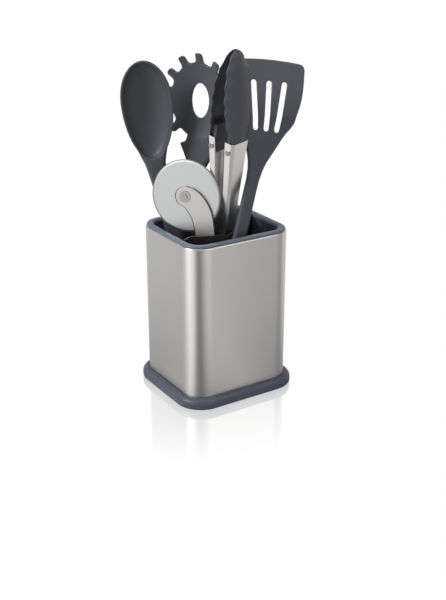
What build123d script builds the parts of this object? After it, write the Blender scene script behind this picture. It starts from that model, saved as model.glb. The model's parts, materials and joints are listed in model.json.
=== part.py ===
from build123d import *
from math import cos, hypot, pi, radians, sin, tan
import os

# Crock, millimetres. Plan sizes are half lengths along X and Y, and origin is the base's underside.
PAD_HALF, PAD_CORNER, PAD_TOP = (60.0, 54.5), 23.0, 2.3
PLINTH_HALF, PLINTH_CORNER, PLINTH_Z = (64.5, 59.0), 27.5, (0.8, 11.5)
PLINTH_TOP_ROUND, PLINTH_FOOT_ROUND = 6.0, 1.6
PAD_PLAY, GROOVE_PLAY = 0.3, 0.7
UPSTAND_HALF, UPSTAND_CORNER, UPSTAND_WALL, UPSTAND_TOP = (56.6, 51.1), 19.6, 2.0, 17.5
POCKET_FLOOR = 4.5
SLEEVE_HALF, SLEEVE_CORNER, SLEEVE_WALL = (57.5, 52.0), 20.5, 0.6
SLEEVE_Z, SLEEVE_ROLL, SLEEVE_LIP = (9.2, 164.0), 1.5, 2.2

# Liner
CAVITY_HALF, CAVITY_CORNER, CAVITY_FLOOR = (47.5, 42.0), 11.0, 7.0
CAVITY_ROUND, LINER_ROUND = 3.0, 4.0
LINER_WALL, LINER_UNDERSIDE, LINER_DRAFT = 2.0, 4.8, 0.547
RIM_HALF, RIM_CORNER, RIM_Z = (56.3, 50.8), 19.3, (164.2, 166.4)
RIM_INNER_ROUND, RIM_OUTER_ROUND = 3.0, 1.6
SKIRT_HALF, SKIRT_CORNER, SKIRT_WALL, SKIRT_FOOT = (55.0, 49.5), 18.0, 2.2, 152.0
RIB_REACH, RIB_WIDTH, RIB_Z = 2.6, 1.5, (8.0, 150.0)
RIB_CENTRES = [(-1, -24.6), (-1, -19.0), (1, 4.0), (1, 12.8)]

# Divider: bend points of its middle line in plan
DIVIDER_LINE = [(-52.0, -24.0), (-39.0, -17.5), (-5.5, -33.0), (52.5, 12.8)]
DIVIDER_SHEET, DIVIDER_BEND, DIVIDER_PLAY, DIVIDER_Z = 1.0, 3.0, 0.25, (7.0, 166.0)

# Each tool stands on its foot point, passes the rim point, and faces across its width direction.
# Bars are rows of height, width and thickness; necks are rows of place along the bend, width and thickness.
# TOOTH_FREE is the angle to each side of the pasta server's neck that has no teeth, in degrees.
SPOON_FOOT, SPOON_RIM, SPOON_ACROSS = (-9.0, -10.0, 8.5), (-32.0, 30.0, 165.0), (0.843, -0.539, 0.0)
SPOON_BEND, SPOON_HEAD_AXIS = (-41.6, 45.9, 226.3), (-0.121, -0.041, 1.0)
SPOON_HEAD_ACROSS = (0.843, -0.539, 0.0)
SPOON_BAR = [(0, 7, 3.5), (1.6, 12, 6), (4, 14.4, 7.2), (8, 15.6, 7.8), (30, 16, 8), (120, 16, 8)]
SPOON_NECK = [(0, 16, 7.8), (0.2, 16.8, 7.4), (0.35, 18.2, 7), (0.5, 20.5, 6.2), (0.65, 26, 5.4),
              (0.8, 31, 4.8), (0.95, 35, 4.6)]
SPOON_NECK_SPAN = (34.0, 24.0)
BOWL_HALF_WIDTH, BOWL_DEPTH, BOWL_UP, BOWL_DOWN, BOWL_WIDEST, BOWL_WALL = 24.7, 16.0, 39.4, 57.6, 57.8, 2.3

SERVER_FOOT, SERVER_RIM, SERVER_ACROSS = (-37.5, 27.5, 7.8), (-11.0, 31.5, 165.0), (0.58, -0.815, 0.0)
SERVER_BEND, SERVER_HEAD_AXIS = (-2.1, 27.8, 222.8), (0.015, -0.005, 1.0)
SERVER_HEAD_ACROSS = (0.387, -0.921, 0.0)
SERVER_BAR = [(0, 7, 3.5), (1.6, 12, 6), (4, 14.4, 7.2), (8, 15.6, 7.8), (30, 16, 8), (120, 16, 8)]
SERVER_NECK = [(0, 16, 7.8), (0.25, 17.4, 7.2), (0.39, 20.2, 6.6), (0.485, 24.4, 6), (0.583, 30, 5.3),
               (0.68, 36, 4.7), (0.779, 42, 4.2), (0.8, 36, 4.1), (0.832, 30, 4), (1, 24, 3.2)]
SERVER_NECK_SPAN = (24.0, 27.0)
CUP_CENTRE, CUP_SET, CUP_TURN, CUP_NOTCH = 59.0, 1.8, 2.5, (32.5, 36.4)
TOOTH_COUNT, TOOTH_LENGTH, TOOTH_WIDTH, TOOTH_ROUND, NOTCH_ROUND = 13, 9.0, 8.0, 2.6, 3.4
TOOTH_FREE = 20.0
CUP_SHELL, CUP_WALL = (51.0, 13.4, 50.0), 3.0
CUP_HOLE = (10.2, 16.5)

TURNER_FOOT, TURNER_RIM, TURNER_ACROSS = (-38.0, -38.4, 8.5), (3.75, -37.2, 165.0), (0.955, -0.16, -0.26)
TURNER_BEND, TURNER_HEAD_AXIS = (34.0, -36.1, 272.9), (0.299, 0.369, 0.880)
TURNER_HEAD_ACROSS = (0.889, -0.442, -0.117)
TURNER_BAR = [(0, 6, 3), (1.6, 9, 4.6), (6, 11, 5.6), (26, 13.4, 6.4), (150, 13.4, 6.4)]
TURNER_NECK = [(0, 12.8, 6.3), (0.1, 12.9, 6.2), (0.18, 15, 5.9), (0.25, 19, 5.4), (0.32, 25, 4.8),
               (0.4, 31, 4.2), (0.5, 37, 3.6), (0.6, 43, 3.0), (0.7, 49.6, 2.8), (0.8, 53, 2.6),
               (0.95, 54.8, 2.4)]
TURNER_NECK_SPAN = (72.0, 4.0)
BLADE_HALF_WIDTHS = [(1.4, 26.6), (9.1, 28.9), (15.6, 30.6), (22.5, 31.8), (34.5, 32.8), (47, 33)]
BLADE_CORNER, BLADE_SHOULDER, BLADE_TOP, BLADE_SHEET = (31.8, 51.8), (28.0, 54.0), 55.6, 2.4
SLOT_ENDS, SLOT_WIDTH, SLOT_SIDES = (-8.9, 33.2), 4.8, (10.2, 14.5)

# Tongs: heights along the axis, then the near arm's outer face, width, web depth and bevel
TONGS_FOOT, TONGS_RIM, TONGS_ACROSS = (9.3, 20.2, 8.0), (0.35, -11.4, 165.0), (0.969, 0.249, 0.0)
ARM_STATIONS = [(30, 7.6, 13.0, 6.2, 1.5), (60, 8.2, 13.0, 5.2, 1.5), (158, 11.0, 13.2, 5.4, 1.6),
                (208, 13.4, 17.0, 8.0, 2.2), (257.0, 16.4, 22.6, 10.0, 2.7)]
ARM_SHEET, EAR_RADIUS, EAR_PLAY, PIN_HEIGHT, PIN_RADIUS, PIN_REACH = 1.0, 5.4, 0.35, 30.0, 1.5, 7.6
PIN_HEAD, PIN_PLAY = (2.6, 0.8), 0.05
# Heads: height above the arm's end, half width, and how far the rim and the outer face lie from the axis
HEAD_STATIONS = [(0, 11.3, 13.4, 16.4), (5, 12.4, 11.8, 16.4), (12, 13.8, 10.2, 16.3),
                 (22, 15.6, 8.8, 16.0), (34, 16.6, 7.6, 15.2), (46, 16.7, 6.6, 13.8),
                 (57, 15.6, 5.4, 11.9), (66, 13.4, 4.2, 9.6), (73, 10.4, 3.1, 7.2),
                 (77.6, 8.0, 2.2, 4.9), (80.2, 5.8, 1.5, 3.4), (81.6, 3.2, 1.0, 2.2)]
HEAD_LEAN = 1.4
HEAD_WALL, HEAD_STEP, HEAD_WAVE, HEAD_WAVE_LENGTH, HEAD_WAVE_SPAN = 2.8, 2.2, 0.8, 12.5, (7.0, 76.0)
TANG_SIZE = (17.2, (7.0, 12.3), (-16.0, 12.0))
RIVET_DOWN, RIVET_DEPTH, RIVET_RADIUS, RIVET_HEAD = 9.5, 5.4, 1.8, (2.6, 0.8)
GRIP_SPAN, GRIP_WIDTH, GRIP_THICKNESS, GRIP_SINK = (62.0, 157.0), 9.6, 1.5, 0.08
SPRING_X, SPRING_TURNS, SPRING_COIL, SPRING_WIRE, SPRING_LEG = 1.95, 3, 2.5, 0.45, 30.0
SPRING_PITCH = 1.9 * SPRING_WIRE
SLIDER_SHEET, SLIDER_HALF, SLIDER_SPAN = 1.6, 4.0, (9.4, 40.0)
SLIDER_SLOT, SLIDER_EYE = (20.2, 31.9, 1.75), (12.6, 1.9)
RING_RADIUS, RING_WIRE, RING_HEIGHT = 6.0, 0.9, 7.1

# Pizza cutter: the wheel's frame has X across the wheel, Y away from the arm and Z up
WHEEL_CENTRE, WHEEL_ACROSS, WHEEL_UP = (-31.2, 2.2, 199.3), (0.596, -0.803, 0.0), (0.056, 0.042, 0.995)
WHEEL_RADIUS, WHEEL_HALF, WHEEL_BEVEL, WHEEL_EDGE = 35.0, 0.6, 2.2, 0.12
CUTTER_ARM = [(0.0, 0.0), (6.0, -2.2), (11.6, -7.6), (16.4, -15.0), (19.2, -24.0), (20.7, -34.0),
              (21.6, -42.0), (22.8, -49.5), (23.0, -58.0)]
CUTTER_ARM_WIDTHS = [18.8, 20.0, 20.8, 20.4, 19.6, 19.0, 17.4, 11.0, 10.4]
CUTTER_ARM_Y, SPACER_Y, SPACER_SHIFT = (-3.3, -1.7), (-1.7, -0.95), 1.5
AXLE_RADIUS, AXLE_PLAY, AXLE_WASHER, AXLE_HEAD, AXLE_BACK = 2.5, 0.05, (5.6, 0.5), (2.4, 1.1), (5.0, 1.2)
CUTTER_GRIP_TOP, CUTTER_GRIP_FOOT = (22.8, 0.2, -50.0), (7.8, 4.6, -188.0)
CUTTER_GRIP = [(0, 8, 4), (1.6, 13, 8), (6, 16, 10.6), (30, 18, 12), (70, 17, 11.4), (110, 16, 10.4),
               (130, 15, 9)]
FERRULE_SIZE, FERRULE_SPAN = (16.4, 9.8), (130.0, 138.0)

HANGING_HOLE, HANGING_HEIGHT = (2.4, 4.6), 11.0
BAR_ROUND, CLEAR, HUGE = 0.44, 1.0, 200.0


# Shared shapes
def grow(half, by):
    return half[0] + by, half[1] + by


def block(half, corner, low, high, draft=0.0):
    plan = RectangleRounded(2 * half[0], 2 * half[1], corner)
    return Pos(0, 0, low) * extrude(plan, high - low, taper=-draft)


def top_edges(solid):
    return solid.faces().sort_by(Axis.Z)[-1].edges()


def bottom_edges(solid):
    return solid.faces().sort_by(Axis.Z)[0].edges()


def front_cut(sketch):
    return extrude(Plane.XZ * sketch, HUGE, both=True)


def stand(foot, rim, across):
    up = (Vector(*rim) - Vector(*foot)).normalized()
    side = Vector(*across)
    return Plane(origin=foot, x_dir=(side - up * side.dot(up)).normalized(), z_dir=up)


def head_plane(bend, axis, across):
    up, side = Vector(*axis).normalized(), Vector(*across)
    return Plane(origin=bend, x_dir=(side - up * side.dot(up)).normalized(), z_dir=up)


def section(plane, height, width, thickness):
    return plane * (Pos(0, 0, height) * RectangleRounded(width, thickness, BAR_ROUND * thickness))


def bar(plane, stations):
    return [section(plane, height, width, thickness) for height, width, thickness in stations]


def neck(handle, head, span, sizes):
    reach = (head.origin - handle.origin).dot(handle.z_dir) - span[0]
    start, end = handle.origin + handle.z_dir * reach, head.origin + head.z_dir * span[1]
    sections = []
    for t, width, thickness in sizes:
        point = start * (1 - t) ** 2 + head.origin * (2 * t * (1 - t)) + end * t ** 2
        up = ((head.origin - start) * (1 - t) + (end - head.origin) * t).normalized()
        side = handle.x_dir * (1 - t) + head.x_dir * t
        plane = Plane(origin=point, x_dir=(side - up * side.dot(up)).normalized(), z_dir=up)
        sections.append(section(plane, 0, width, thickness))
    return sections


def ribbon(points, widths):
    left, right = [], []
    for i, (x, y) in enumerate(points):
        ahead, behind = points[min(i + 1, len(points) - 1)], points[max(i - 1, 0)]
        step = (Vector(*ahead) - Vector(*behind)).normalized()
        left.append((x - step.Y * widths[i] / 2, y + step.X * widths[i] / 2))
        right.append((x + step.Y * widths[i] / 2, y - step.X * widths[i] / 2))
    edges = [Spline(*left), Line(left[-1], right[-1]), Spline(*right[::-1]), Line(right[0], left[0])]
    return make_face(edges)


def half_ellipsoid(half_width, depth, length, upper):
    ball = scale(Sphere(1.0), by=(half_width, depth, length))
    keep = Pos(0, HUGE / 2, (1 if upper else -1) * HUGE / 2) * Box(HUGE, HUGE, HUGE)
    return ball & keep


def hanging_hole(plane):
    wide, tall = HANGING_HOLE
    slot = Rot(0, 0, 90) * SlotOverall(2 * tall, 2 * wide)
    return plane * front_cut(Pos(0, HANGING_HEIGHT) * slot)


# Crock
def non_slip_pad():
    return block(PAD_HALF, PAD_CORNER, 0, PAD_TOP)


def base_plinth():
    low, high = PLINTH_Z
    body = block(PLINTH_HALF, PLINTH_CORNER, low, high)
    body = fillet(top_edges(body), PLINTH_TOP_ROUND)
    body = fillet(bottom_edges(body), PLINTH_FOOT_ROUND)
    body -= block(grow(SLEEVE_HALF, GROOVE_PLAY), SLEEVE_CORNER + GROOVE_PLAY, SLEEVE_Z[0], high + CLEAR)
    body += block(UPSTAND_HALF, UPSTAND_CORNER, SLEEVE_Z[0], UPSTAND_TOP)
    pocket_corner = UPSTAND_CORNER - UPSTAND_WALL
    body -= block(grow(UPSTAND_HALF, -UPSTAND_WALL), pocket_corner, POCKET_FLOOR, UPSTAND_TOP + CLEAR)
    return body - block(grow(PAD_HALF, PAD_PLAY), PAD_CORNER + PAD_PLAY, low - CLEAR, PAD_TOP)


def steel_sleeve():
    low, high = SLEEVE_Z
    outer = block(SLEEVE_HALF, SLEEVE_CORNER, low, high)
    outer = fillet(top_edges(outer), SLEEVE_ROLL)
    bore_corner = SLEEVE_CORNER - SLEEVE_WALL
    inner = block(grow(SLEEVE_HALF, -SLEEVE_WALL), bore_corner, low - CLEAR, high - SLEEVE_WALL)
    inner = fillet(top_edges(inner), SLEEVE_ROLL - SLEEVE_WALL)
    mouth = block(grow(SLEEVE_HALF, -SLEEVE_LIP), SLEEVE_CORNER - SLEEVE_LIP, low, high + CLEAR)
    return outer - inner - mouth


def cavity(play=0.0):
    plan = grow(CAVITY_HALF, -play)
    return block(plan, CAVITY_CORNER - play, CAVITY_FLOOR, RIM_Z[1] + CLEAR, LINER_DRAFT)


def liner():
    outer_half = grow(CAVITY_HALF, LINER_WALL)
    body = block(outer_half, CAVITY_CORNER + LINER_WALL, LINER_UNDERSIDE, RIM_Z[0] + CLEAR, LINER_DRAFT)
    body = fillet(bottom_edges(body), LINER_ROUND)
    body += block(RIM_HALF, RIM_CORNER, *RIM_Z)
    skirt = block(SKIRT_HALF, SKIRT_CORNER, SKIRT_FOOT, RIM_Z[0])
    skirt -= block(grow(SKIRT_HALF, -SKIRT_WALL), SKIRT_CORNER - SKIRT_WALL, SKIRT_FOOT, RIM_Z[0])
    body += skirt
    body -= fillet(bottom_edges(cavity()), CAVITY_ROUND)
    rim = body.faces().sort_by(Axis.Z)[-1]
    body = fillet(rim.outer_wire().edges(), RIM_OUTER_ROUND)
    rim = body.faces().sort_by(Axis.Z)[-1]
    body = fillet(rim.inner_wires()[0].edges(), RIM_INNER_ROUND)
    reach = CAVITY_HALF[0] + LINER_WALL / 2
    ribs = []
    low, high = RIB_Z
    for side, centre in RIB_CENTRES:
        shape = Box(2 * RIB_REACH, RIB_WIDTH, high - low)
        ribs.append(Pos(side * reach, centre, (low + high) / 2) * shape)
    return body + ribs


def divider():
    left, right, half = [], [], DIVIDER_SHEET / 2
    line = [Vector(*point) for point in DIVIDER_LINE]
    for i, point in enumerate(line):
        before = (point - line[i - 1]).normalized() if i else (line[1] - line[0]).normalized()
        after = (line[i + 1] - point).normalized() if i + 1 < len(line) else before
        mitre = (Vector(-before.Y, before.X) + Vector(-after.Y, after.X)).normalized()
        reach = half / mitre.dot(Vector(-before.Y, before.X))
        left.append(point + mitre * reach)
        right.append(point - mitre * reach)
    low, high = DIVIDER_Z
    outline = make_face(Polyline(*left, *right[::-1], close=True))
    sheet = Pos(0, 0, low) * extrude(outline, high - low)
    for i in (1, 2):
        for side, other in ((left, right), (right, left)):
            turn = (line[i] - line[i - 1]).cross(line[i + 1] - line[i]).Z
            outside = (side is right) == (turn > 0)
            corner = [e for e in sheet.edges().filter_by(Axis.Z)
                      if abs(e.center().X - side[i].X) + abs(e.center().Y - side[i].Y) < half / 2]
            sheet = fillet(corner, DIVIDER_BEND + (DIVIDER_SHEET if outside else 0))
    return sheet & fillet(bottom_edges(cavity(DIVIDER_PLAY)), CAVITY_ROUND)


# Spoon
def bowl_mouth():
    half, mouth = BOWL_HALF_WIDTH - BOWL_WALL, []
    for length, side in ((BOWL_UP, 1), (BOWL_DOWN, -1)):
        ellipse = scale(Circle(1.0), by=(half, length - BOWL_WALL, 1.0))
        mouth.append(ellipse & Pos(0, side * HUGE / 2) * Rectangle(HUGE, HUGE))
    return front_cut(mouth[0] + mouth[1]) & Pos(0, -HUGE / 2, 0) * Box(HUGE, HUGE, HUGE)


def spoon():
    handle = stand(SPOON_FOOT, SPOON_RIM, SPOON_ACROSS)
    head = head_plane(SPOON_BEND, SPOON_HEAD_AXIS, SPOON_HEAD_ACROSS)
    sections = bar(handle, SPOON_BAR) + neck(handle, head, SPOON_NECK_SPAN, SPOON_NECK)
    stem = loft(sections, ruled=True) - hanging_hole(handle)
    outer, inner = [], []
    for length, upper in ((BOWL_UP, True), (BOWL_DOWN, False)):
        sizes = (BOWL_HALF_WIDTH, BOWL_DEPTH, length)
        outer.append(half_ellipsoid(*sizes, upper))
        inner.append(half_ellipsoid(*[size - BOWL_WALL for size in sizes], upper))
    place = head * Pos(0, -BOWL_WALL, BOWL_WIDEST)
    bowl = place * (outer[0] + outer[1])
    hollow = place * (inner[0] + inner[1])
    return stem - place * bowl_mouth() + bowl - hollow


# Pasta server
def server_outline():
    a, b = CUP_NOTCH
    outline = scale(Circle(1.0), by=(a, b, 1.0))
    for i in range(TOOTH_COUNT):
        turn = 360 * i / TOOTH_COUNT
        if abs(turn - 180) < TOOTH_FREE:
            continue
        root = a * b / hypot(a * cos(radians(turn)), b * sin(radians(turn)))
        tip = root + TOOTH_LENGTH
        tooth = Pos(tip / 2, 0) * Rectangle(tip, TOOTH_WIDTH)
        outer = [corner for corner in tooth.vertices() if corner.X > tip / 2]
        outline += Rot(0, 0, 90 - turn) * fillet(outer, TOOTH_ROUND)
    roots = [corner for corner in outline.vertices() if is_root(corner)]
    return fillet(roots, NOTCH_ROUND)


def is_root(corner):
    return hypot(corner.X / CUP_NOTCH[0], corner.Y / CUP_NOTCH[1]) < 1.0 + TOOTH_LENGTH / 2 / CUP_NOTCH[1]


def server_shell(shrink):
    sizes = tuple(size - shrink for size in CUP_SHELL)
    return Pos(0, -CUP_SHELL[1] / 2, 0) * scale(Sphere(1.0), by=sizes)


def pasta_server():
    handle = stand(SERVER_FOOT, SERVER_RIM, SERVER_ACROSS)
    head = head_plane(SERVER_BEND, SERVER_HEAD_AXIS, SERVER_HEAD_ACROSS)
    sections = bar(handle, SERVER_BAR) + neck(handle, head, SERVER_NECK_SPAN, SERVER_NECK)
    stem = loft(sections, ruled=True) - hanging_hole(handle)
    cup = (server_shell(0) - server_shell(CUP_WALL)) & front_cut(server_outline())
    cup &= Pos(0, HUGE / 2 - CUP_SHELL[1] / 2, 0) * Box(HUGE, HUGE, HUGE)
    hole = front_cut(scale(Circle(1.0), by=(CUP_HOLE[0], CUP_HOLE[1], 1.0)))
    place = head * Pos(0, -CUP_SET, CUP_CENTRE) * Rot(0, CUP_TURN, 0)
    return stem - place * server_shell(CUP_WALL) + place * (cup - hole)


# Slotted turner
def turner_blade():
    right = [(half, height) for height, half in BLADE_HALF_WIDTHS]
    edges = [Spline(*right), ThreePointArc(right[-1], BLADE_CORNER, BLADE_SHOULDER)]
    edges += [mirror(edge, about=Plane.YZ) for edge in edges]
    shoulder = (-BLADE_SHOULDER[0], BLADE_SHOULDER[1])
    edges += [ThreePointArc(BLADE_SHOULDER, (0.0, BLADE_TOP), shoulder)]
    edges += [Line(right[0], (-right[0][0], right[0][1]))]
    return extrude(Plane.XZ * make_face(edges), BLADE_SHEET / 2, both=True)


def turner_slots():
    slots = []
    low, high = SLOT_ENDS
    for bottom, top in ((0.0, 0.0), SLOT_SIDES, [-side for side in SLOT_SIDES]):
        middle = ((bottom + top) / 2, (low + high) / 2)
        slots.append(front_cut(SlotCenterPoint(middle, (top, high), SLOT_WIDTH)))
    return slots


def slotted_turner():
    handle = stand(TURNER_FOOT, TURNER_RIM, TURNER_ACROSS)
    head = head_plane(TURNER_BEND, TURNER_HEAD_AXIS, TURNER_HEAD_ACROSS)
    sections = bar(handle, TURNER_BAR) + neck(handle, head, TURNER_NECK_SPAN, TURNER_NECK)
    body = loft(sections, ruled=True) - hanging_hole(handle) + head * turner_blade()
    return body - [head * slot for slot in turner_slots()]


# Tongs
def channel(height, face, width, web, bevel, sheet, mirrored):
    side = -1 if not mirrored else 1
    w, c, k = width / 2, bevel, sheet * tan(radians(22.5))
    outer = [(w, face - web), (w, face - c), (w - c, face), (c - w, face), (-w, face - c), (-w, face - web)]
    low = face - sheet
    inner = [(sheet - w, face - web), (sheet - w, face - c - k), (c + k - w, low),
             (w - c - k, low), (w - sheet, face - c - k), (w - sheet, face - web)]
    points = [(x, side * y) for x, y in outer + inner]
    return Pos(0, 0, height) * make_face(Polyline(*points, close=True))


def tong_arm(mirrored):
    shrink = 2 * (ARM_SHEET + EAR_PLAY) if mirrored else 0.0
    sections = []
    for i, (height, face, width, web, bevel) in enumerate(ARM_STATIONS):
        narrow = shrink if i < 2 else 0.0
        sections.append(channel(height, face, width - narrow, web, bevel, ARM_SHEET, mirrored))
    arm = loft(sections, ruled=True)
    side = 1 if mirrored else -1
    face = ARM_STATIONS[0][1]
    width = ARM_STATIONS[0][2] - shrink
    tongue = Pos(0, PIN_HEIGHT) * Circle(EAR_RADIUS)
    rise = ARM_STATIONS[1][0] / 2 - PIN_HEIGHT / 2
    tongue += Pos(side * face / 2, PIN_HEIGHT + rise / 2) * Rectangle(face - ARM_SHEET, rise)
    for x in (-1, 1):
        middle = x * (width - ARM_SHEET) / 2
        arm += Pos(middle, 0, 0) * extrude(Plane.YZ * tongue, ARM_SHEET / 2, both=True)
    bore = Pos(0, 0, PIN_HEIGHT) * Rot(0, 90, 0) * Cylinder(PIN_RADIUS + PIN_PLAY, HUGE)
    rivet = rivet_place(mirrored) * Cylinder(RIVET_RADIUS, HUGE)
    return arm - bore - rivet


def between(rows, value):
    for low, high in zip(rows, rows[1:]):
        if value <= high[0]:
            t = (value - low[0]) / (high[0] - low[0])
            return [a + (b - a) * t for a, b in zip(low, high)]
    return list(rows[-1])


def tong_head(mirrored):
    side, base = (1 if mirrored else -1), ARM_STATIONS[-1][0]
    sections, count = [], round(HEAD_STATIONS[-1][0] / HEAD_STEP)
    for i in range(count + 1):
        height, half, rim, face = between(HEAD_STATIONS, HEAD_STATIONS[-1][0] * i / count)
        if HEAD_WAVE_SPAN[0] < height < HEAD_WAVE_SPAN[1]:
            half += HEAD_WAVE * sin(2 * pi * height / HEAD_WAVE_LENGTH)
        wall = min(HEAD_WALL, half / 2)
        deep = max(face - wall, rim + (face - rim) / 8)
        outer = ThreePointArc((-half, side * rim), (0, side * face), (half, side * rim))
        inner = ThreePointArc((half - wall, side * rim), (0, side * deep), (wall - half, side * rim))
        ends = Line(outer @ 1, inner @ 0), Line(inner @ 1, outer @ 0)
        lean = HEAD_LEAN * (height / HEAD_STATIONS[-1][0]) ** 2
        sections.append(Pos(lean, 0, base + height) * make_face([outer, ends[0], inner, ends[1]]))
    width, (inside, outside), (low, high) = TANG_SIZE
    tang = Box(width, outside - inside, high - low)
    tang = Pos(0, side * (inside + outside) / 2, base + (low + high) / 2) * tang
    return loft(sections, ruled=True) + tang - rivet_place(mirrored) * Cylinder(RIVET_RADIUS, HUGE)


def face_at(height):
    return between(ARM_STATIONS, height)[1]


def rivet_place(mirrored):
    side, height = (1 if mirrored else -1), ARM_STATIONS[-1][0] - RIVET_DOWN
    return Pos(0, side * (face_at(height) - RIVET_DEPTH), height) * Rot(0, 90, 0)


def tong_rivet(mirrored):
    radius, head = RIVET_HEAD
    half = between(ARM_STATIONS, ARM_STATIONS[-1][0] - RIVET_DOWN + radius)[2] / 2
    body = Cylinder(RIVET_RADIUS, 2 * half)
    for end in (-1, 1):
        body += Pos(0, 0, end * (half + head / 2)) * Cylinder(radius, head)
    return rivet_place(mirrored) * body


def tong_grip(mirrored):
    side = 1 if mirrored else -1
    low, high = GRIP_SPAN
    middle, slope = (low + high) / 2, (face_at(high) - face_at(low)) / (high - low)
    outline = Plane.XZ * (Rot(0, 0, 90) * SlotOverall(high - low, GRIP_WIDTH))
    pad = extrude(outline, GRIP_THICKNESS / 2, both=True)
    outer = pad.faces().sort_by(Axis.Y)[-1 if mirrored else 0]
    pad = fillet(outer.edges(), GRIP_THICKNESS / 2)
    lean = Rot(-side * slope * 180 / pi, 0, 0)
    return Pos(0, side * (face_at(middle) + GRIP_THICKNESS / 2 + GRIP_SINK), middle) * lean * pad


def tongs_hinge_pin():
    turn = Pos(0, 0, PIN_HEIGHT) * Rot(0, 90, 0)
    radius, head = PIN_HEAD
    pin = turn * Cylinder(PIN_RADIUS, 2 * PIN_REACH)
    for x in (-1, 1):
        pin += Pos(x * (PIN_REACH - head / 2), 0, PIN_HEIGHT) * Rot(0, 90, 0) * Cylinder(radius, head)
    return pin


def tongs_spring():
    coil = None
    for i in range(SPRING_TURNS):
        place = Pos(SPRING_X + i * SPRING_PITCH, 0, PIN_HEIGHT) * Rot(0, 90, 0)
        turn = place * Torus(SPRING_COIL, SPRING_WIRE)
        coil = turn if coil is None else coil + turn
    for side, x in ((-1, SPRING_X), (1, SPRING_X + (SPRING_TURNS - 1) * SPRING_PITCH)):
        leg = Pos(x, side * SPRING_COIL, PIN_HEIGHT + SPRING_LEG / 2) * Cylinder(SPRING_WIRE, SPRING_LEG)
        coil += leg
    return coil


def tongs_lock_slider():
    low, high = SLIDER_SPAN
    plate = Pos(0, (low + high) / 2) * RectangleRounded(2 * SLIDER_HALF, high - low, SLIDER_HALF - 0.2)
    slot_low, slot_high, slot_half = SLIDER_SLOT
    slot = Rot(0, 0, 90) * SlotOverall(slot_high - slot_low, 2 * slot_half)
    slot = Pos(0, (slot_low + slot_high) / 2) * slot
    eye = Pos(0, SLIDER_EYE[0]) * Circle(SLIDER_EYE[1])
    return extrude(Plane.YZ * (plate - slot - eye), SLIDER_SHEET / 2, both=True)


def tongs_ring():
    return Pos(0, 0, RING_HEIGHT) * Rot(90, 0, 0) * Torus(RING_RADIUS, RING_WIRE)


# Pizza cutter
def wheel_plane():
    up = Vector(*WHEEL_UP).normalized()
    side = Vector(*WHEEL_ACROSS)
    return Plane(origin=WHEEL_CENTRE, x_dir=(side - up * side.dot(up)).normalized(), z_dir=up)


def round_y(radius, low, high):
    return Pos(0, (low + high) / 2, 0) * Rot(90, 0, 0) * Cylinder(radius, high - low)


def cutter_wheel():
    rim = WHEEL_RADIUS - WHEEL_BEVEL
    half = [(0, -WHEEL_HALF), (rim, -WHEEL_HALF), (WHEEL_RADIUS, -WHEEL_EDGE), (WHEEL_RADIUS, WHEEL_EDGE),
            (rim, WHEEL_HALF), (0, WHEEL_HALF)]
    disc = revolve(make_face(Polyline(*half, close=True)), Axis.Y)
    return disc - round_y(AXLE_RADIUS + AXLE_PLAY, -HUGE / 2, HUGE / 2)


def arm_outline(shift):
    points = [(x - shift, z - shift / 3) for x, z in CUTTER_ARM]
    return ribbon(points, CUTTER_ARM_WIDTHS) + Pos(*points[0]) * Circle(CUTTER_ARM_WIDTHS[0] / 2)


def plate_y(sketch, low, high):
    return Pos(0, high, 0) * extrude(Plane.XZ * sketch, high - low)


def cutter_arm():
    return plate_y(arm_outline(0.0), *CUTTER_ARM_Y) - round_y(AXLE_RADIUS, -HUGE / 2, HUGE / 2)


def cutter_spacer():
    return plate_y(arm_outline(SPACER_SHIFT), *SPACER_Y) - round_y(AXLE_RADIUS, -HUGE / 2, HUGE / 2)


def cutter_rivet():
    front, back = CUTTER_ARM_Y[0], WHEEL_HALF + 0.35
    body = round_y(AXLE_RADIUS, front, back)
    body += round_y(AXLE_WASHER[0], front - AXLE_WASHER[1], front)
    body += round_y(AXLE_HEAD[0], front - AXLE_HEAD[1], front)
    return body + round_y(AXLE_BACK[0], back, back + AXLE_BACK[1])


def cutter_grip_plane():
    top, foot = Vector(*CUTTER_GRIP_TOP), Vector(*CUTTER_GRIP_FOOT)
    up = (top - foot).normalized()
    side = Vector(1, 0, 0)
    return Plane(origin=foot, x_dir=(side - up * side.dot(up)).normalized(), z_dir=up)


def arm_socket():
    return plate_y(arm_outline(0.0), *CUTTER_ARM_Y) + plate_y(arm_outline(SPACER_SHIFT), *SPACER_Y)


def cutter_handle():
    plane = cutter_grip_plane()
    return loft(bar(plane, CUTTER_GRIP), ruled=True) - hanging_hole(plane) - arm_socket()


def cutter_ferrule():
    width, thickness = FERRULE_SIZE
    low, high = FERRULE_SPAN
    collar = extrude(RectangleRounded(width, thickness, BAR_ROUND * thickness), high - low)
    collar = cutter_grip_plane() * (Pos(0, 0, low) * collar)
    return collar - arm_socket()


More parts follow.
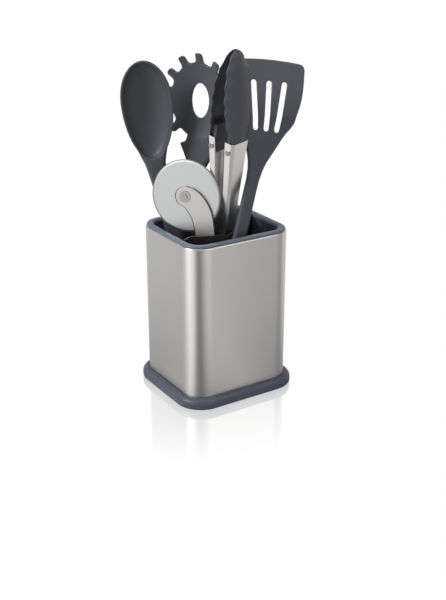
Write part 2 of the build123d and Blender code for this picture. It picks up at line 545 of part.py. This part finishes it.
def build():
    tongs = stand(TONGS_FOOT, TONGS_RIM, TONGS_ACROSS)
    wheel = wheel_plane()
    nodes = {
        "base_plinth": base_plinth(), "non_slip_pad": non_slip_pad(), "steel_sleeve": steel_sleeve(),
        "liner": liner(), "divider": divider(),
        "spoon": spoon(), "pasta_server": pasta_server(), "slotted_turner": slotted_turner(),
        "tongs_hinge_pin": tongs * tongs_hinge_pin(), "tongs_spring": tongs * tongs_spring(),
        "tongs_lock_slider": tongs * tongs_lock_slider(), "tongs_ring": tongs * tongs_ring(),
        "cutter_wheel": wheel * cutter_wheel(), "cutter_arm": wheel * cutter_arm(),
        "cutter_spacer": wheel * cutter_spacer(), "cutter_rivet": wheel * cutter_rivet(),
        "cutter_handle": wheel * cutter_handle(), "cutter_ferrule": wheel * cutter_ferrule(),
    }
    for name, mirrored in (("near", False), ("far", True)):
        nodes[f"tongs_{name}_arm"] = tongs * tong_arm(mirrored)
        nodes[f"tongs_{name}_head"] = tongs * tong_head(mirrored)
        nodes[f"tongs_{name}_rivet"] = tongs * tong_rivet(mirrored)
        nodes[f"tongs_{name}_grip"] = tongs * tong_grip(mirrored)
    return nodes


os.makedirs("parts", exist_ok=True)
for node, shape in build().items():
    solids = shape.solids()
    box = shape.bounding_box()
    print(node, len(solids), round(shape.volume), round(box.min.Z, 1), round(box.max.Z, 1))
    export_step(solids[0] if len(solids) == 1 else shape, f"parts/{node}.step")
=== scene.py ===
"""A utensil crock with its set of five tools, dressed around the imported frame."""

import json
import math

import bmesh
import bpy
from mathutils import Matrix, Vector


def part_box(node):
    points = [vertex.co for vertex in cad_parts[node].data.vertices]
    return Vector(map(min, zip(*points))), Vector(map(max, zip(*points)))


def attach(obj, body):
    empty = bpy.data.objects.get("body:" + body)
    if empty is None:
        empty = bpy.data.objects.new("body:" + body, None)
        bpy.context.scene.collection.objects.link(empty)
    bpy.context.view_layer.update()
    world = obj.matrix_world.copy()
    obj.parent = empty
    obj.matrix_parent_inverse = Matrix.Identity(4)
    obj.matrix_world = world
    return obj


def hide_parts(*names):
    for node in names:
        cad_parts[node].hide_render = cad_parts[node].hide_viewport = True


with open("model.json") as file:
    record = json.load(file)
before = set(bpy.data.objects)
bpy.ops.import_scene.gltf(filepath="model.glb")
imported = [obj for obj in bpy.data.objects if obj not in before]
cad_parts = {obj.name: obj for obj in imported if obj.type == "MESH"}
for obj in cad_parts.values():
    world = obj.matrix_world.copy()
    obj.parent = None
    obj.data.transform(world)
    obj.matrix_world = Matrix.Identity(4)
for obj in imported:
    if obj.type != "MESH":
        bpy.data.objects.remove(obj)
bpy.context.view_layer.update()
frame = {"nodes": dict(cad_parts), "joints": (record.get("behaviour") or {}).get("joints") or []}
nodes = frame["nodes"]

MM = 0.001

# Softened mouldings, as (node, body): the cells of their new surface, and how far it is smoothed
SOFT_MOULDINGS = [("spoon", "spoon"), ("pasta_server", "server"), ("slotted_turner", "turner")]
MERGE_MM, CELL_MM = 0.001, 0.6
SMOOTH_SHARE, SMOOTH_PASSES = 0.5, 14

# Plastics and rubbers, as a hex sRGB colour and a roughness
PLINTH_ABS = ("3f4550", 0.42)
LINER_POLYPROPYLENE = ("545c69", 0.4)
PAD_RUBBER = ("1c1c1e", 0.7)
HEAD_NYLON = ("404147", 0.5)
GRIP_RUBBER = ("1d1d1f", 0.6)
SLIDER_ACETAL = ("232326", 0.5)

# Their surface: the mould's blasted grain, and wide clouds of tone and gloss where the melt flowed.
# The real grain is about 0.1 mm. It is drawn coarser, so that it shows.
GRAIN_MM, GRAIN_DEPTH_MM, GRAIN_STRENGTH, GRAIN_DETAIL = 0.35, 0.05, 0.12, 3.0
FLOW_MM, FLOW_TONE, FLOW_GLOSS, FLOW_DETAIL = 30, 0.05, 0.05, 2.0
MOULDED_SPECULAR = 0.3
NYLON_EDGE_MM, EDGE_SAMPLES = 1.5, 8

# Stainless steels, as a hex sRGB colour and a roughness
SLEEVE_STEEL = ("b6b4b3", 0.36)
# The divider's colour is the sleeve's steel, darkened as painted shade
DIVIDER_STEEL_PAINTED_SHADE = ("5a5958", 0.4)
ARM_STEEL = ("d4d2d0", 0.3)
# The cutter arm's plate: darker than the strip steel as painted shade
PLATE_STEEL_PAINTED_SHADE = ("a8a6a4", 0.4)
# The rivets: a darker steel as painted shade, for the shaded ring about each head
RIVET_STEEL_PAINTED_SHADE = ("8e8d8b", 0.35)
# The cutter's spacer: near black, as painted shade along the arm's edge
SPACER_PAINTED_SHADE = ("2b2a2a", 0.4)
WHEEL_STEEL = ("a9aaaa", 0.42)

# Their surface: brushed lines along the axes marked 1, or rings about an axle, and wide patches of gloss.
# Real lines and rings are about 0.05 mm apart. They are drawn coarser, so that they show.
LEVEL_LINES, UPRIGHT_LINES = (1, 1, 0), (0, 0, 1)
LINE_MM, LINE_LENGTH_MM = 0.25, 18
ARM_LINE_MM, ARM_LINE_LENGTH_MM = 0.3, 25
LINE_TONE, LINE_DEPTH_MM, LINE_STRENGTH, LINE_DETAIL = 0.035, 0.02, 0.06, 3.0
PATCH_MM, PATCH_GLOSS, PATCH_DETAIL = 40, 0.03, 1.0
SLEEVE_ANISOTROPY = 0.85
RING_MM, RING_DEPTH_MM, RING_STRENGTH, RING_DETAIL = 0.3, 0.02, 0.05, 3.0
RING_DARK, RING_LIGHT = 0.975, 1.02

# The pizza wheel's painted rim shade, a dark line that stands in for the shade on its bevelled edge: where
# it starts and ends from the axle, and how dark it is painted
PAINTED_RIM_SHADE_START_MM, PAINTED_RIM_SHADE_END_MM, PAINTED_RIM_SHADE = 33.8, 34.2, 0.35

# A Mix node's colour sockets, by number, because its other kinds of socket have the same names
MIX_LOW, MIX_HIGH, MIX_RESULT = 6, 7, 2

# The room. Angles are in degrees, azimuth from +X towards +Y, and places in metres.
# REFLECTED_LEVELS is what steel mirrors, as (azimuth, level): it draws the bright and dark bands at the
# sleeve's corners. The level falls from SKY_START to SKY_END, which are heights of a unit direction.
# FILL_LEVEL is the even level with which the room lights every surface.
REFLECTED_LEVELS = [(0, 1.0), (112, 1.0), (130, 0.98), (142, 1.05), (165, 1.25), (186, 1.4), (201, 1.68),
                    (209, 1.45), (218, 0.68), (233, 0.38), (252, 0.86), (268, 1.22), (284, 1.24), (303, 0.8),
                    (318, 0.62), (334, 0.66), (348, 1.1)]
SKY_LEVEL, SKY_START, SKY_END = 0.5, 0.25, 0.8
FILL_LEVEL = 0.31

# Soft panels, as (name, azimuth, elevation, distance, width, watts), all turned to the set's middle
LIGHT_PANELS = [("panel_left", 172, 35, 1.5, 0.6, 22), ("panel_right", 305, 45, 1.8, 1.0, 8),
                ("panel_above", 240, 78, 1.5, 1.2, 6)]
PANEL_TARGET = Vector((0, 0, 0.15))

# The floor: what steel mirrors of it is darker near the crock, from the near reach out to the far reach:
# painted shade, for the crock's shadow on the floor
FLOOR_WHITE, FLOOR_ROUGHNESS, FLOOR_REACH = "eeeeee", 0.6, 6.0
FLOOR_SHADE_LEVEL, FLOOR_SHADE_NEAR_REACH, FLOOR_SHADE_FAR_REACH = 0.6, 0.1, 0.36

# The crock's faint mirror image on the floor, which fades out from the plinth's edge, round its corners too
MIRROR_SHARE, MIRROR_FADE, MIRROR_ROUGHNESS = 0.48, 0.095, 0.04
PLINTH_CORNER = 0.0275

# The camera: the photograph's viewpoint in metres, its turn as two directions, and its lens in mm
CAMERA_PLACE = Vector((-0.4994, -0.7954, 0.4786))
CAMERA_RIGHT, CAMERA_UP = Vector((0.8427, -0.5385, 0.0)), Vector((0.207, 0.325, 0.9227))
LENS, SENSOR = 60.84, 36.0


def linear(code, share=1.0):
    """A hex sRGB colour, each part multiplied by share, as linear RGBA."""
    parts = [min(255, round(int(code[i:i + 2], 16) * share)) / 255 for i in (0, 2, 4)]
    return tuple(c / 12.92 if c <= 0.04045 else ((c + 0.055) / 1.055) ** 2.4 for c in parts) + (1.0,)


def fill(tree, node, links):
    """Fills a node's inputs from (input, socket or plain value) pairs."""
    for place, value in links:
        if isinstance(value, bpy.types.NodeSocket):
            tree.links.new(value, node.inputs[place])
        else:
            node.inputs[place].default_value = value


def add(tree, kind, links=(), **settings):
    """Adds a node, sets its properties or inputs by name, and fills the inputs in links."""
    node = tree.nodes.new(kind)
    for key, value in settings.items():
        if hasattr(node, key):
            setattr(node, key, value)
        else:
            node.inputs[key.replace("_", " ")].default_value = value
    fill(tree, node, links)
    return node


def new_material(name):
    """A material, its node tree, its shader and the place on the piece that its patterns follow."""
    material = bpy.data.materials.new(name)
    material.use_nodes = True
    tree = material.node_tree
    place = add(tree, "ShaderNodeTexCoord").outputs["Object"]
    return material, tree, tree.nodes["Principled BSDF"], place


def moulded(name, colour, roughness, edge_mm=0.0):
    """Plastic or rubber from a blasted mould: an even satin skin, with soft edges where edge_mm is given."""
    material, tree, shader, place = new_material(name)
    flow = add(tree, "ShaderNodeTexNoise", [("Vector", place)], Scale=1 / (FLOW_MM * MM),
               Detail=FLOW_DETAIL).outputs["Fac"]
    grain = add(tree, "ShaderNodeTexNoise", [("Vector", place)], Scale=1 / (GRAIN_MM * MM),
                Detail=GRAIN_DETAIL).outputs["Fac"]
    tone = add(tree, "ShaderNodeMix", [("Factor", flow), (MIX_LOW, linear(colour, 1 - FLOW_TONE)),
                                       (MIX_HIGH, linear(colour, 1 + FLOW_TONE))], data_type="RGBA")
    gloss = add(tree, "ShaderNodeMapRange", [("Value", flow)], To_Min=roughness - FLOW_GLOSS,
                To_Max=roughness + FLOW_GLOSS)
    bump = add(tree, "ShaderNodeBump", [("Height", grain)], Strength=GRAIN_STRENGTH,
               Distance=GRAIN_DEPTH_MM * MM)
    if edge_mm:
        rounded = add(tree, "ShaderNodeBevel", samples=EDGE_SAMPLES, Radius=edge_mm * MM)
        fill(tree, bump, [("Normal", rounded.outputs["Normal"])])
    fill(tree, shader, [("Base Color", tone.outputs[MIX_RESULT]), ("Roughness", gloss.outputs["Result"]),
                        ("Normal", bump.outputs["Normal"]), ("Specular IOR Level", MOULDED_SPECULAR)])
    return material


def brushed(name, colour, roughness, along, line_mm=LINE_MM, length_mm=LINE_LENGTH_MM, anisotropy=0.0):
    """Steel brushed with a belt: fine lines of tone, and with anisotropy, highlights drawn out upwards."""
    material, tree, shader, place = new_material(name)
    scale = tuple(1 / ((length_mm if drawn else line_mm) * MM) for drawn in along)
    drawn_out = add(tree, "ShaderNodeMapping", [("Vector", place)], Scale=scale).outputs["Vector"]
    lines = add(tree, "ShaderNodeTexNoise", [("Vector", drawn_out)], Scale=1.0,
                Detail=LINE_DETAIL).outputs["Fac"]
    patch = add(tree, "ShaderNodeTexNoise", [("Vector", place)], Scale=1 / (PATCH_MM * MM),
                Detail=PATCH_DETAIL).outputs["Fac"]
    tone = add(tree, "ShaderNodeMix", [("Factor", lines), (MIX_LOW, linear(colour, 1 - LINE_TONE)),
                                       (MIX_HIGH, linear(colour, 1 + LINE_TONE))], data_type="RGBA")
    gloss = add(tree, "ShaderNodeMapRange", [("Value", patch)], To_Min=roughness - PATCH_GLOSS,
                To_Max=roughness + PATCH_GLOSS)
    bump = add(tree, "ShaderNodeBump", [("Height", lines)], Strength=LINE_STRENGTH,
               Distance=LINE_DEPTH_MM * MM)
    fill(tree, shader, [("Base Color", tone.outputs[MIX_RESULT]), ("Roughness", gloss.outputs["Result"]),
                        ("Normal", bump.outputs["Normal"]), ("Metallic", 1.0)])
    if anisotropy:
        upright = add(tree, "ShaderNodeCombineXYZ", Z=1.0)
        fill(tree, shader, [("Tangent", upright.outputs["Vector"]), ("Anisotropic", anisotropy)])
    return material


def ground_wheel(name, colour, roughness, centre, axis):
    """A steel disc ground as it turns: fine rings of tone about the axle, and a dark line of painted shade
    at its edge.
    """
    material, tree, shader, place = new_material(name)
    from_axle = add(tree, "ShaderNodeVectorMath", [(0, place), (1, centre)], operation="SUBTRACT")
    across = add(tree, "ShaderNodeVectorMath", [(0, from_axle.outputs["Vector"]), (1, axis)],
                 operation="CROSS_PRODUCT")
    radius = add(tree, "ShaderNodeVectorMath", [(0, across.outputs["Vector"])],
                 operation="LENGTH").outputs["Value"]
    rings = add(tree, "ShaderNodeTexNoise", [("W", radius)], noise_dimensions="1D", Scale=1 / (RING_MM * MM),
                Detail=RING_DETAIL).outputs["Fac"]
    tone = add(tree, "ShaderNodeMix", [("Factor", rings), (MIX_LOW, linear(colour, RING_DARK)),
                                       (MIX_HIGH, linear(colour, RING_LIGHT))],
               data_type="RGBA").outputs[MIX_RESULT]
    # Painted shade: the colour darkens near the rim, for the shade on the wheel's bevelled edge
    shade = add(tree, "ShaderNodeMapRange", [("Value", radius)], From_Min=PAINTED_RIM_SHADE_START_MM * MM,
                From_Max=PAINTED_RIM_SHADE_END_MM * MM, To_Min=1.0, To_Max=PAINTED_RIM_SHADE)
    rim_shaded = add(tree, "ShaderNodeVectorMath", [(0, tone), ("Scale", shade.outputs["Result"])],
                operation="SCALE")
    bump = add(tree, "ShaderNodeBump", [("Height", rings)], Strength=RING_STRENGTH,
               Distance=RING_DEPTH_MM * MM)
    fill(tree, shader, [("Base Color", rim_shaded.outputs["Vector"]), ("Normal", bump.outputs["Normal"]),
                        ("Roughness", roughness), ("Metallic", 1.0)])
    return material


def dress(material, *names):
    """Gives CAD nodes one material."""
    for name in names:
        slots = nodes[name].data.materials
        slots.clear()
        slots.append(material)


def soften(node, body, material):
    """A moulding in a node's place, with its edges and joins run together as a mould leaves them."""
    shape = nodes[node].data.copy()
    shell = bmesh.new()
    shell.from_mesh(shape)
    bmesh.ops.remove_doubles(shell, verts=shell.verts, dist=MERGE_MM * MM)
    shell.to_mesh(shape)
    shell.free()
    blank = bpy.data.objects.new(f"{node}_blank", shape)
    bpy.context.collection.objects.link(blank)
    skin = blank.modifiers.new("skin", "REMESH")
    skin.mode, skin.voxel_size = "VOXEL", CELL_MM * MM
    smooth = blank.modifiers.new("smooth", "SMOOTH")
    smooth.factor, smooth.iterations = SMOOTH_SHARE, SMOOTH_PASSES
    ready = blank.evaluated_get(bpy.context.evaluated_depsgraph_get())
    mesh = bpy.data.meshes.new_from_object(ready)
    bpy.data.objects.remove(blank)
    mesh.shade_smooth()
    mesh.materials.clear()
    mesh.materials.append(material)
    moulding = bpy.data.objects.new(f"{node}_moulding", mesh)
    bpy.context.collection.objects.link(moulding)
    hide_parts(node)
    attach(moulding, body)


def dress_crock():
    # ABS: the plinth's rounded edge shows as a soft pale line over an even blue-grey
    dress(moulded("moulded_abs_plinth", *PLINTH_ABS), "base_plinth")
    # Thermoplastic rubber, almost black and without shine
    dress(moulded("rubber_pad", *PAD_RUBBER), "non_slip_pad")
    # Polypropylene: a paler, slightly glossier blue-grey along the bullnose rim
    dress(moulded("moulded_polypropylene_liner", *LINER_POLYPROPYLENE), "liner")
    # Stainless sheet brushed round the sleeve: upright bands of light and dark at its corners
    dress(brushed("brushed_stainless_sleeve", *SLEEVE_STEEL, LEVEL_LINES, anisotropy=SLEEVE_ANISOTROPY),
          "steel_sleeve")
    # The same sheet inside the liner, its colour darkened as painted shade, since little light reaches it
    dress(brushed("brushed_stainless_divider_painted_shade", *DIVIDER_STEEL_PAINTED_SHADE, LEVEL_LINES), "divider")


def dress_tools():
    # Glass-filled nylon: a dark, even matt skin whose rounded edges catch a faint light
    nylon = moulded("moulded_nylon", *HEAD_NYLON, edge_mm=NYLON_EDGE_MM)
    dress(nylon, "tongs_near_head", "tongs_far_head", "cutter_handle")
    for node, body in SOFT_MOULDINGS:
        soften(node, body, nylon)
    # Thermoplastic rubber: black and matt beside the bright arms
    dress(moulded("rubber_grip", *GRIP_RUBBER), "tongs_near_grip", "tongs_far_grip")
    # Acetal: black, a little smoother than the grips
    dress(moulded("moulded_acetal_slider", *SLIDER_ACETAL), "tongs_lock_slider")
    # Stainless strip, satin polished along its length: bright facets with clear edges between them
    arm = brushed("satin_stainless_arm", *ARM_STEEL, UPRIGHT_LINES, ARM_LINE_MM, ARM_LINE_LENGTH_MM)
    dress(arm, "tongs_near_arm", "tongs_far_arm", "tongs_spring", "tongs_ring", "cutter_ferrule")
    # Thicker stainless plate, darker than the strip as painted shade, which tones down the bright light its
    # face mirrors, so that the cutter's arm stands out from its wheel
    dress(brushed("satin_stainless_plate_painted_shade", *PLATE_STEEL_PAINTED_SHADE, UPRIGHT_LINES), "cutter_arm")
    # Stainless wire, headed in a die: small grey heads, darker than the arms as painted shade, for the
    # shaded ring about each rivet
    dress(brushed("headed_stainless_rivet_painted_shade", *RIVET_STEEL_PAINTED_SHADE, UPRIGHT_LINES), "cutter_rivet", "tongs_near_rivet",
          "tongs_far_rivet", "tongs_hinge_pin")
    # A near-black plate between the wheel and its arm: painted shade, for the dark gap and the arm's shadow
    # along its edge
    dress(brushed("spacer_painted_shade", *SPACER_PAINTED_SHADE, UPRIGHT_LINES), "cutter_spacer")
    # Stainless disc, ground: flat, pale and even, with a thin dark line of painted shade near its edge, for
    # the shade on its bevel
    spin = next(joint for joint in frame["joints"] if joint["name"] == "wheel_spin")
    dress(ground_wheel("ground_stainless_wheel", *WHEEL_STEEL, spin["pos_m"], spin["axis"]), "cutter_wheel")


def level_around(tree, way):
    """The level that steel mirrors from a direction or place, by its azimuth."""
    parts = add(tree, "ShaderNodeSeparateXYZ", [("Vector", way)]).outputs
    angle = add(tree, "ShaderNodeMath", [(0, parts["Y"]), (1, parts["X"])], operation="ARCTAN2")
    turn = add(tree, "ShaderNodeMath", [(0, angle.outputs["Value"]), (1, math.tau)], operation="DIVIDE")
    share = add(tree, "ShaderNodeMath", [(0, turn.outputs["Value"])], operation="FRACT")
    ramp = add(tree, "ShaderNodeValToRGB", [("Fac", share.outputs["Value"])])
    stops = ramp.color_ramp.elements
    while len(stops) < len(REFLECTED_LEVELS):
        stops.new(1.0)
    top = max(level for azimuth, level in REFLECTED_LEVELS)
    for stop, (azimuth, level) in zip(stops, REFLECTED_LEVELS):
        stop.position = azimuth / 360
        stop.color = (level / top, level / top, level / top, 1.0)
    scaled = add(tree, "ShaderNodeMath", [(0, ramp.outputs["Color"]), (1, top)], operation="MULTIPLY")
    return scaled.outputs["Value"]


def room_level(tree, way):
    """The level that steel mirrors from a direction in the room, which is darker overhead."""
    height = add(tree, "ShaderNodeSeparateXYZ", [("Vector", way)]).outputs["Z"]
    sky = add(tree, "ShaderNodeMapRange", [("Value", height)], From_Min=SKY_START, From_Max=SKY_END,
              To_Min=1.0, To_Max=SKY_LEVEL)
    level = add(tree, "ShaderNodeMath", [(0, level_around(tree, way)), (1, sky.outputs["Result"])],
                operation="MULTIPLY")
    return level.outputs["Value"]


def mirror_share(tree, place):
    """The floor's mirror share: full at the plinth's edge and nothing MIRROR_FADE away from it."""
    far_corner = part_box("base_plinth")[1]
    straight = (far_corner[0] - PLINTH_CORNER, far_corner[1] - PLINTH_CORNER, 0.0)
    size = add(tree, "ShaderNodeVectorMath", [(0, place)], operation="ABSOLUTE")
    past = add(tree, "ShaderNodeVectorMath", [(0, size.outputs["Vector"]), (1, straight)],
               operation="SUBTRACT")
    outside = add(tree, "ShaderNodeVectorMath", [(0, past.outputs["Vector"]), (1, (0, 0, 0))],
                  operation="MAXIMUM")
    distance = add(tree, "ShaderNodeVectorMath", [(0, outside.outputs["Vector"])], operation="LENGTH")
    fade = add(tree, "ShaderNodeMapRange", [("Value", distance.outputs["Value"])], From_Min=PLINTH_CORNER,
               From_Max=PLINTH_CORNER + MIRROR_FADE, To_Min=MIRROR_SHARE, To_Max=0.0)
    return fade.outputs["Result"]


def floor_to_camera(tree, place):
    """White, with the crock's mirror image, less what that share mirrors of the bare room."""
    share = mirror_share(tree, place)
    back = add(tree, "ShaderNodeNewGeometry").outputs["Incoming"]
    onward = add(tree, "ShaderNodeVectorMath", [(0, back), (1, (-1, -1, 1))], operation="MULTIPLY")
    room = add(tree, "ShaderNodeMath", [(0, room_level(tree, onward.outputs["Vector"])), (1, share)],
               operation="MULTIPLY")
    rest = add(tree, "ShaderNodeMath", [(0, 1.0), (1, room.outputs["Value"])], operation="SUBTRACT")
    white = add(tree, "ShaderNodeEmission", [("Strength", rest.outputs["Value"])])
    image = add(tree, "ShaderNodeBsdfGlossy", [("Color", share)], Roughness=MIRROR_ROUGHNESS)
    both = add(tree, "ShaderNodeAddShader", [(0, white.outputs["Emission"]), (1, image.outputs["BSDF"])])
    return both.outputs["Shader"]


def floor_to_steel(tree, place):
    """The floor as steel mirrors it: a painted glow with the room's levels carried on over it, darker near
    the crock as painted shade.
    """
    distance = add(tree, "ShaderNodeVectorMath", [(0, place)], operation="LENGTH")
    # Painted shade: the floor's glow dims towards the crock
    near = add(tree, "ShaderNodeMapRange", [("Value", distance.outputs["Value"])], From_Min=FLOOR_SHADE_NEAR_REACH,
               From_Max=FLOOR_SHADE_FAR_REACH, To_Min=FLOOR_SHADE_LEVEL)
    level = add(tree, "ShaderNodeMath", [(0, level_around(tree, place)), (1, near.outputs["Result"])],
                operation="MULTIPLY")
    return add(tree, "ShaderNodeEmission", [("Strength", level.outputs["Value"])]).outputs["Emission"]


def make_floor():
    """A white acrylic sheet: clean white to the camera, and a plain matt white that lights the crock."""
    mesh = bpy.data.meshes.new("floor")
    corners = [(x * FLOOR_REACH, y * FLOOR_REACH, 0) for x, y in ((-1, -1), (1, -1), (1, 1), (-1, 1))]
    mesh.from_pydata(corners, [], [(0, 1, 2, 3)])
    floor = bpy.data.objects.new("floor", mesh)
    bpy.context.collection.objects.link(floor)
    material, tree, shader, place = new_material("white_acrylic_floor")
    fill(tree, shader, [("Base Color", linear(FLOOR_WHITE)), ("Roughness", FLOOR_ROUGHNESS)])
    ray = add(tree, "ShaderNodeLightPath").outputs
    lit = add(tree, "ShaderNodeMixShader", [("Fac", ray["Is Glossy Ray"]), (1, shader.outputs["BSDF"]),
                                            (2, floor_to_steel(tree, place))])
    whole = add(tree, "ShaderNodeMixShader", [("Fac", ray["Is Camera Ray"]), (1, lit.outputs["Shader"]),
                                              (2, floor_to_camera(tree, place))])
    fill(tree, tree.nodes["Material Output"], [("Surface", whole.outputs["Shader"])])
    mesh.materials.append(material)


def make_camera():
    data = bpy.data.cameras.new("camera")
    data.lens, data.sensor_width = LENS, SENSOR
    camera = bpy.data.objects.new("camera", data)
    turn = Matrix((CAMERA_RIGHT, CAMERA_UP, CAMERA_RIGHT.cross(CAMERA_UP))).transposed()
    camera.matrix_world = Matrix.Translation(CAMERA_PLACE) @ turn.normalized().to_4x4()
    bpy.context.collection.objects.link(camera)
    bpy.context.scene.camera = camera


def hang_panel(name, azimuth, elevation, distance, width, watts):
    """A soft square panel that looks at the set's middle from azimuth and elevation."""
    data = bpy.data.lights.new(name, "AREA")
    data.shape, data.size, data.size_y, data.energy = "RECTANGLE", width, width, watts
    panel = bpy.data.objects.new(name, data)
    a, e = math.radians(azimuth), math.radians(elevation)
    back = Vector((math.cos(a) * math.cos(e), math.sin(a) * math.cos(e), math.sin(e)))
    panel.rotation_mode = "QUATERNION"
    panel.rotation_quaternion = (-back).to_track_quat("-Z", "Y")
    panel.location = PANEL_TARGET + back * distance
    bpy.context.collection.objects.link(panel)


def light_room():
    """A white room: white to the camera, one even level where it lights, and levels by azimuth in steel."""
    world = bpy.data.worlds.new("white_room")
    bpy.context.scene.world = world
    world.use_nodes = True
    tree = world.node_tree
    way = add(tree, "ShaderNodeTexCoord").outputs["Generated"]
    ray = add(tree, "ShaderNodeLightPath").outputs
    lit = add(tree, "ShaderNodeMix", [("Factor", ray["Is Diffuse Ray"]), ("A", room_level(tree, way)),
                                      ("B", FILL_LEVEL)])
    seen = add(tree, "ShaderNodeMix", [("Factor", ray["Is Camera Ray"]), ("A", lit.outputs["Result"]),
                                       ("B", 1.0)])
    fill(tree, tree.nodes["Background"], [("Strength", seen.outputs["Result"]), ("Color", (1, 1, 1, 1))])
    for panel in LIGHT_PANELS:
        hang_panel(*panel)


dress_crock()
dress_tools()
make_floor()
make_camera()
light_room()

scene = bpy.context.scene
scene.view_settings.view_transform = "Standard"
